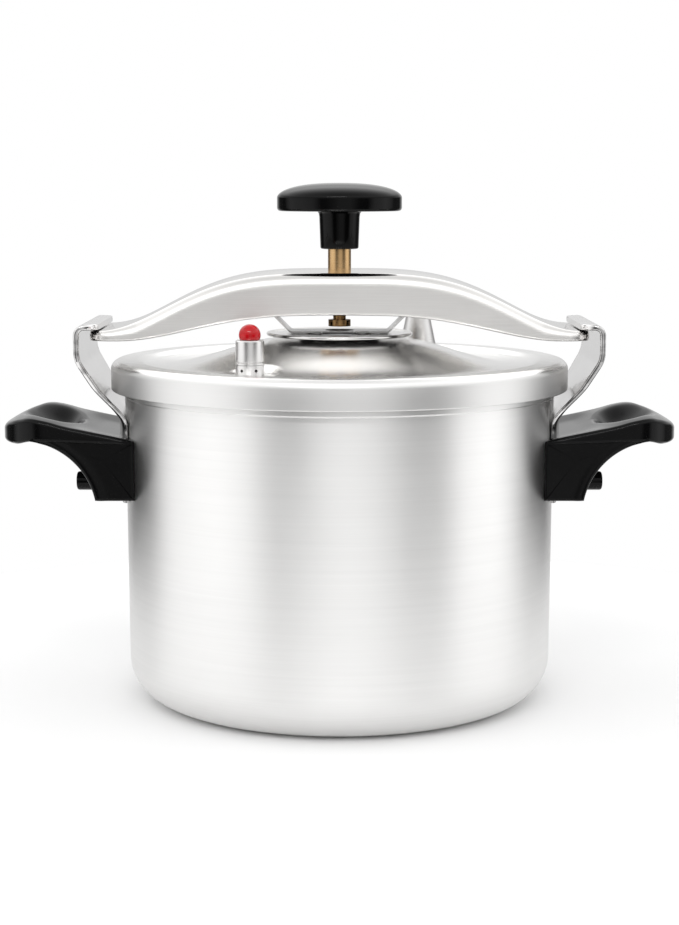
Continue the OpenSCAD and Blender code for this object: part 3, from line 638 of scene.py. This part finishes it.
# ---- Centre disc ----
# A pressed steel disc, polished, riveted to the crown of the dome. The screw's foot bears in its
# round recess.

disc = turned("centre_disc_pressed", round_corners([
    (0, 201.05, 0), (22.2, 201.05, 1.0), (23.4, 203.0, 1.0), (38.6, 203.0, 0.3), (39.0, 202.75, 0.3),
    (40.6, 202.75, 0.75), (40.6, 204.55, 0.75), (38.9, 204.55, 0.6), (38.2, 204.0, 0.6),
    (22.2, 204.2, 1.2), (21.0, 202.25, 1.2), (0, 202.25, 0)], 7), steps=256)
disc_finish = Finish("disc_steel", Metallic=1.0, Anisotropic=0.3, Anisotropic_Rotation=0.25)
place = disc_finish.place
x_at, y_at = place.axis("X"), place.axis("Y")
radius = (x_at * x_at + y_at * y_at).root()
marks = radius.node("CombineXYZ", {0: radius * 2200, 1: 0.0, 2: 0.0}).noise(1.0, 4, 0.7)
rubbed = radius.step(0.012, 0.002)
film = place.noise(70.0, 4)
# painted shade: inside the recess, radius under 21.5 mm, the colour is 0.50 darker
recess_painted_shade = radius.step(0.0232, 0.0215)
disc_finish.feed(Base_Color=(film * 0.10 + marks * 0.06 + 0.70 - recess_painted_shade * 0.50 - rubbed * 0.05).ramp(
    (0, (0, 0, 0)), (1, (1, 0.99, 0.975))),
    Roughness=film * 0.08 + marks * 0.06 + rubbed * 0.1 + 0.09)
disc_finish.bump(marks, 0.1, 0.0001)
disc_finish.put_on(disc)
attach(disc, "lid")
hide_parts("centre_disc")


# ---- Small fasteners ----
# Aluminium rivets, zinc-plated bolts and nuts, and spring wire. They are plain turned or headed
# parts, dull from handling.

zinc = Finish("plated_fasteners", Metallic=1.0)
place = zinc.place
spots = place.noise(220.0, 5)
turn_marks = place.stretched(300, 300, 2200).noise(1.0, 3)
zinc.feed(Base_Color=(spots * 0.16 + turn_marks * 0.06 + 0.50).ramp(
    (0, (0, 0, 0)), (1, (1, 0.985, 0.96))),
          Roughness=spots * 0.2 + 0.22)
zinc.bump(spots * 0.6 + turn_marks * 0.4, 0.2, 0.0002)
zinc.put_on(*[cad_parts[n] for n in (
    "hook_rivets_left", "hook_rivets_right", "handle_bolt_left", "handle_bolt_right",
    "weld_nut_left", "weld_nut_right", "disc_rivets", "valve_nut", "valve_spring",
    "valve_piston", "safety_nut", "safety_spring", "foot_ring")])


# ---- Working valve ----
# A turned aluminium valve: a collar with small exhaust holes screwed to the lid, a body above
# it, and a glossy red ball cap pushed on the piston's tip.

vx, vy = seat_places["working"]
valve_metal = Finish("valve_aluminium", Metallic=1.0, Anisotropic=0.4, Anisotropic_Rotation=0.25)
place = valve_metal.place
lathe_marks = place.stretched(60, 60, 4200).noise(1.0, 4, 0.7)
haze = place.noise(150.0, 4)
valve_metal.feed(Base_Color=(haze * 0.10 + lathe_marks * 0.06 + 0.72).ramp(
    (0, (0, 0, 0)), (1, (1, 0.99, 0.98))),
    Roughness=haze * 0.10 + lathe_marks * 0.08 + 0.20)
valve_metal.bump(lathe_marks, 0.12, 0.0001)
valve_metal.put_on(*[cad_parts[n] for n in ("valve_stem", "valve_body", "safety_body",
                                                 "safety_plunger")])
cap_angle = np.radians(np.linspace(-24, 90, 26))
cap_low, cap_r = 205.95, 5.7
cap_mid = cap_low + cap_r * 0.4
cap_profile = np.column_stack([cap_r * np.cos(cap_angle), cap_mid + cap_r * np.sin(cap_angle)])
cap_profile[-1, 0] = 0
cap = turned("red_cap", np.vstack([[(1.95, cap_low), (4.9, cap_low)], cap_profile]), steps=96,
             centre=(vx, vy))
red = Finish("red_cap_plastic", Metallic=0.0, Specular_IOR_Level=0.3, Coat_Roughness=0.03)
place = red.place
swirl = place.noise(300.0, 3)
red.feed(Base_Color=swirl.ramp((0.3, (0.44, 0.002, 0.006)), (0.7, (0.56, 0.004, 0.010))),
         Roughness=swirl * 0.06 + 0.10, Coat_Weight=swirl * 0.1 + 0.10)
red.bump(swirl, 0.1, 0.0001)
red.put_on(cap)
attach(cap, "working_piston")
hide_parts("valve_cap")


# ---- Bridge ----
# One piece of pressed steel: a channel with a polished crown, well-rounded shoulders and brushed
# flanges with rounded edges. A brass bush sits in its middle and takes the screw.

bridge_half, end_z, rise, bridge_t = 136.0, 207.6, 31.8, 2.5
bridge_wide, corner_r, flange_deep = 37, 12, 22.3


def crown_line(x):
    """Top of the bridge along its length: an eased arch, flat at the ends."""
    return end_z + rise * eased(np.minimum(np.abs(x) / 130, 1) ** 1.8)


def flange_line(x):
    """Lower edge of the flanges: deep in the middle and shallow at the ends."""
    return end_z - 4.5 + (rise + 4.5 - flange_deep) * eased(np.minimum(np.abs(x) / 120, 1) ** 1.5)


def channel_skin(x, inset, shoulder, k_side=14, k_round=12, k_top=30):
    """The channel's section at each x, from the front flange's edge over the crown to the back
    one: side, round shoulder, slightly crowned top. inset is how far it lies inside the outer
    skin."""
    ax = np.abs(x)
    corner = np.clip(ax - (bridge_half - corner_r), 0, corner_r)
    drawn_in = corner_r - np.sqrt(np.maximum(corner_r ** 2 - corner ** 2, 0))
    half = bridge_wide - drawn_in * 0.98 - inset
    crown = crown_line(x) - inset
    low = flange_line(x)
    r = np.minimum(shoulder, np.maximum((crown - low) * 0.72, 0.8))
    side = np.linspace(0, 1, k_side)[None, :-1]
    a = np.linspace(0, math.pi / 2, k_round)[None]
    top = np.linspace(-1, 1, k_top)[None, 1:-1]
    h, c, lo, rr = half[:, None], crown[:, None], low[:, None], r[:, None]
    sag = np.clip((crown - low)[:, None] / flange_deep, 0.2, 1)
    y1 = np.broadcast_to(-h, (len(x), k_side - 1))
    z1 = lo + (c - sag - rr - lo) * side
    y2 = -h + rr * (1 - np.cos(a))
    z2 = c - sag - rr + rr * np.sin(a)
    y3 = top * (h - rr)
    z3 = c - sag * np.abs(top) ** 2.2
    y = np.concatenate([y1, y2, y3, -y2[:, ::-1], -y1[:, ::-1]], 1)
    z = np.concatenate([z1, z2, z3 + 0 * y3, z2[:, ::-1], z1[:, ::-1]], 1)
    return y, z


def bridge_mesh():
    """Outer and inner skins of the channel, joined round the flanges' edges by a half-round. The
    bush's flange lies on the crown, which runs on unbroken under it."""
    u = np.linspace(-1, 1, 301)
    x = bridge_half * (u * 0.86 + 0.14 * np.sin(u * math.pi / 2))
    yo, zo = channel_skin(x, 0.0, 6.5)
    yi, zi = channel_skin(x, bridge_t, 4.2)
    a = np.radians([30, 60, 90, 120, 150])
    middle, reach = (yo[:, :1] + yi[:, :1]) / 2, (yi[:, :1] - yo[:, :1]) / 2
    yf, zf = middle - reach * np.cos(a[::-1]), zo[:, :1] - reach * np.sin(a) * 0.95
    yb, zb = -yf[:, ::-1], zf[:, ::-1]
    y = np.concatenate([yo, yb, yi[:, ::-1], yf], 1)
    z = np.concatenate([zo, zb, zi[:, ::-1], zf], 1)
    return x, y, z


x, y, z = bridge_mesh()
around = y.shape[1]
points = np.stack([np.broadcast_to(x[:, None], y.shape), y, z], -1).reshape(-1, 3)
quads, index = grid_faces(len(x), around)
skin_n = (around - 10) // 2


def end_faces(row, flip):
    """Closes an end of the channel with one strip between its outer and inner skins."""
    outer, inner = row[:skin_n], row[skin_n + 5:2 * skin_n + 5][::-1]
    f = np.stack([outer[:-1], outer[1:], inner[1:], inner[:-1]], 1)
    front = np.concatenate([[outer[0]], [inner[0]], row[-5:]])
    back = np.concatenate([[inner[-1]], [outer[-1]], row[skin_n:skin_n + 5]])
    f = f[:, ::-1] if flip else f
    front, back = (front[::-1], back[::-1]) if flip else (front, back)
    return f, [front.tolist(), back.tolist()]


f0, g0 = end_faces(index[0], False)
f1, g1 = end_faces(index[-1], True)
bridge = make_piece("bridge_pressed", points, np.concatenate([quads, f0, f1]), g0 + g1, 40)
bm = bmesh.new()
bm.from_mesh(bridge.data)
bmesh.ops.recalc_face_normals(bm, faces=bm.faces)
bm.to_mesh(bridge.data)
bm.free()
bridge.data.shade_smooth()
bridge.data.set_sharp_from_angle(angle=math.radians(40))

bridge_steel = Finish("bridge_steel", Metallic=1.0)
place = bridge_steel.place
y_at = place.axis("Y")
side_face = y_at.size().step(0.0350, 0.0367)
brush = place.stretched(30, 30, 2400).noise(1.0, 5, 0.7)
polish = place.stretched(1, 6, 1).noise(26.0, 4)
bridge_steel.feed(
    Base_Color=(side_face * -0.03 + brush * side_face * 0.16 + polish * 0.06 + 0.76).ramp(
        (0, (0, 0, 0)), (1, (1.0, 0.985, 0.965))),
    Roughness=side_face * 0.26 + brush * side_face * 0.15 + polish * 0.06 + 0.05)
bridge_steel.bump(brush * side_face * 0.6 + polish * 0.5, 0.2, 0.0004)
bridge_steel.put_on(bridge)
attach(bridge, "bridge")
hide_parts("bridge")


# ---- Clip ----
# A thin strip of spring steel under the bridge. Its flat lies just above the disc and is darkened
# with painted shade there, and its two arms rise to the bridge's underside.

spring_steel = Finish("clip_steel", Metallic=1.0)
place = spring_steel.place
rolled = place.stretched(60, 1500, 60).noise(1.0, 4, 0.7)
smudge = place.noise(90.0, 4)
# painted shade: below 205.6 to 207.5 mm, the clip's flat under the bridge, the colour is 0.50 darker
flat_painted_shade = place.axis("Z").step(0.2075, 0.2056)
spring_steel.feed(Base_Color=(smudge * 0.10 + rolled * 0.08 + 0.72 - flat_painted_shade * 0.50).ramp(
    (0, (0, 0, 0)), (1, (1, 0.99, 0.98))),
                  Roughness=smudge * 0.12 + rolled * 0.1 + 0.12)
spring_steel.bump(rolled, 0.15, 0.0001)
spring_steel.put_on(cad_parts["bridge_clip"])


# ---- Screw ----
# Turned brass: a spindle through the bridge's bush, with a free foot snapped on its lower pin.
# The shank is smooth and warm; the foot and the spindle's end below the bridge are darkened with
# painted shade.

brass = Finish("turned_brass", Metallic=1.0, Anisotropic=0.35, Anisotropic_Rotation=0.25)
place = brass.place
tool_lines = place.stretched(40, 40, 3600).noise(1.0, 4, 0.7)
tarnish = place.stretched(1, 1, 0.6).noise(120.0, 5)
# painted shade: below 212 mm, under the bridge, the brass is 0.40 darker
low_painted_shade = place.axis("Z").step(0.222, 0.212)
brass_tone = tarnish * 0.35 + tool_lines * 0.12 + low_painted_shade * -0.40 + 0.42
brass.feed(Base_Color=brass_tone.ramp((0.0, (0.10, 0.052, 0.018)), (0.45, (0.50, 0.30, 0.13)),
                                      (1.0, (0.80, 0.56, 0.30))),
           Roughness=tarnish * 0.16 + tool_lines * 0.08 + 0.14)
brass.bump(tool_lines, 0.12, 0.0001)
brass.put_on(*[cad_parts[n] for n in ("screw_spindle", "screw_foot", "bridge_bush")])


# ---- Knob ----
# A black moulded knob pressed over the spindle's hexagon head: a low domed disc on a short neck
# that narrows slightly downwards.

knob_r, knob_low, knob_under, knob_top = 34.5, 250.4, 271.2, 286.6
crown_h = 8.2
# crown: (r / R)^2.4 + (h / H)^2 = 1, upright at the edge and level in the middle
crown_a = np.linspace(0, math.pi / 2, 34)
dome = np.column_stack([knob_r * np.cos(crown_a) ** (2 / 2.4),
                        knob_top - crown_h + crown_h * np.sin(crown_a)])
dome[-1, 0] = 0
knob_profile = np.vstack([
    [(6.5, knob_low), (9.4, knob_low)],
    [(10.2, knob_low + 0.25), (10.6, knob_low + 0.9)],
    [(11.2, knob_under - 3.0), (11.5, knob_under - 1.2), (12.3, knob_under - 0.3),
     (13.6, knob_under)],
    [(knob_r - 2.0, knob_under), (knob_r - 0.9, knob_under + 0.25),
     (knob_r - 0.25, knob_under + 0.9), (knob_r, knob_under + 1.8)],
    dome])
knob = turned("knob_moulded", knob_profile, steps=256)
knob_black = Finish("knob_black", Metallic=0.0, Specular_IOR_Level=0.12, Coat_Roughness=0.03)
place = knob_black.place
flow = place.noise(26.0, 4)
rub = place.noise(170.0, 5, 0.65)
knob_black.feed(Base_Color=(flow * 0.002 + rub * 0.002 + 0.001).ramp(
    (0, (0, 0, 0)), (1, (1, 1, 1.03))),
                Roughness=flow * 0.03 + rub * 0.03 + 0.04, Coat_Weight=flow * 0.06)
knob_black.bump(place.noise(900.0, 2) * 0.1 + flow * 0.6, 0.2, 0.0005)
knob_black.put_on(knob)
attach(knob, "screw")
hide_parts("knob")


# ---- Studio ----
# A pale round floor, soft light all round with two darker gaps in front and two towards the back,
# a long narrow light above the front, and the camera a little above the pot.

floor = turned("floor", [(420, -0.3), (0, -0.3)], steps=128)
paper = Finish("pale_floor", Metallic=0.0, Roughness=0.9)
paper.feed(Base_Color=(paper.place.noise(3.0, 2) * 0.01 + 0.90).ramp((0, (0, 0, 0)), (1, (1, 1, 1))))
paper.put_on(floor)

world = bpy.data.worlds.new("soft_light")
world.use_nodes = True
bpy.context.scene.world = world
tree = world.node_tree
heading = Wire(tree, tree.nodes.new("ShaderNodeTexCoord").outputs["Generated"])
east, north, high = heading.axis("X"), heading.axis("Y"), heading.axis("Z")
# azimuth from the front (0.5) round to the back (0 and 1), growing towards the right
azimuth = east.maths("ARCTAN2", east, north * -1.0) / (2 * math.pi) + 0.5
ring_light = azimuth.ramp(
    (0.0, (0.72,) * 3), (0.06, (0.66,) * 3), (0.10, (0.06,) * 3), (0.17, (0.04,) * 3),
    (0.22, (1.00,) * 3), (0.30, (1.25,) * 3), (0.36, (1.05,) * 3), (0.405, (0.02,) * 3),
    (0.435, (0.03,) * 3), (0.50, (0.62,) * 3), (0.555, (0.66,) * 3), (0.605, (0.03,) * 3),
    (0.65, (0.02,) * 3), (0.69, (1.15,) * 3), (0.76, (1.30,) * 3), (0.83, (0.12,) * 3),
    (0.90, (0.05,) * 3), (0.94, (0.66,) * 3), (1.0, (0.72,) * 3))
fill = (high.step(0.02, 0.16) * 0.72).mixed(ring_light, (0.86, 0.86, 0.86, 1))
dome_light = high.ramp((0.30, (1.1,) * 3), (0.52, (1.55,) * 3), (0.72, (1.35,) * 3),
                       (1.0, (0.85,) * 3))
glow = high.step(0.25, 0.50).mixed(fill, dome_light)
seen = Wire(tree, tree.nodes.new("ShaderNodeLightPath").outputs["Is Camera Ray"])
sky = tree.nodes["Background"]
tree.links.new(seen.mixed(glow, (1.0, 1.0, 1.0, 1)).socket, sky.inputs["Color"])
sky.inputs["Strength"].default_value = 1.0

key = bpy.data.lights.new("front_softbox", "AREA")
key.shape, key.size, key.size_y, key.energy = "RECTANGLE", 0.9, 0.07, 4.0
key_at = bpy.data.objects.new("front_softbox", key)
key_at.location = (-0.15, -1.3, 1.25)
key_at.rotation_euler = (math.radians(48), 0, 0)
bpy.context.scene.collection.objects.link(key_at)

camera = bpy.data.cameras.new("camera")
camera.sensor_fit = "AUTO"
camera.sensor_width = 36.0
camera.lens = 1977.6 / 925 * 36.0
camera.clip_end = 50.0
camera_at = bpy.data.objects.new("camera", camera)
camera_at.location = (0.0, -1.101, 0.28595)
camera_at.rotation_euler = (math.pi / 2 - 0.1399, 0, 0)
bpy.context.scene.collection.objects.link(camera_at)
bpy.context.scene.camera = camera_at
bpy.context.scene.view_settings.view_transform = "Standard"
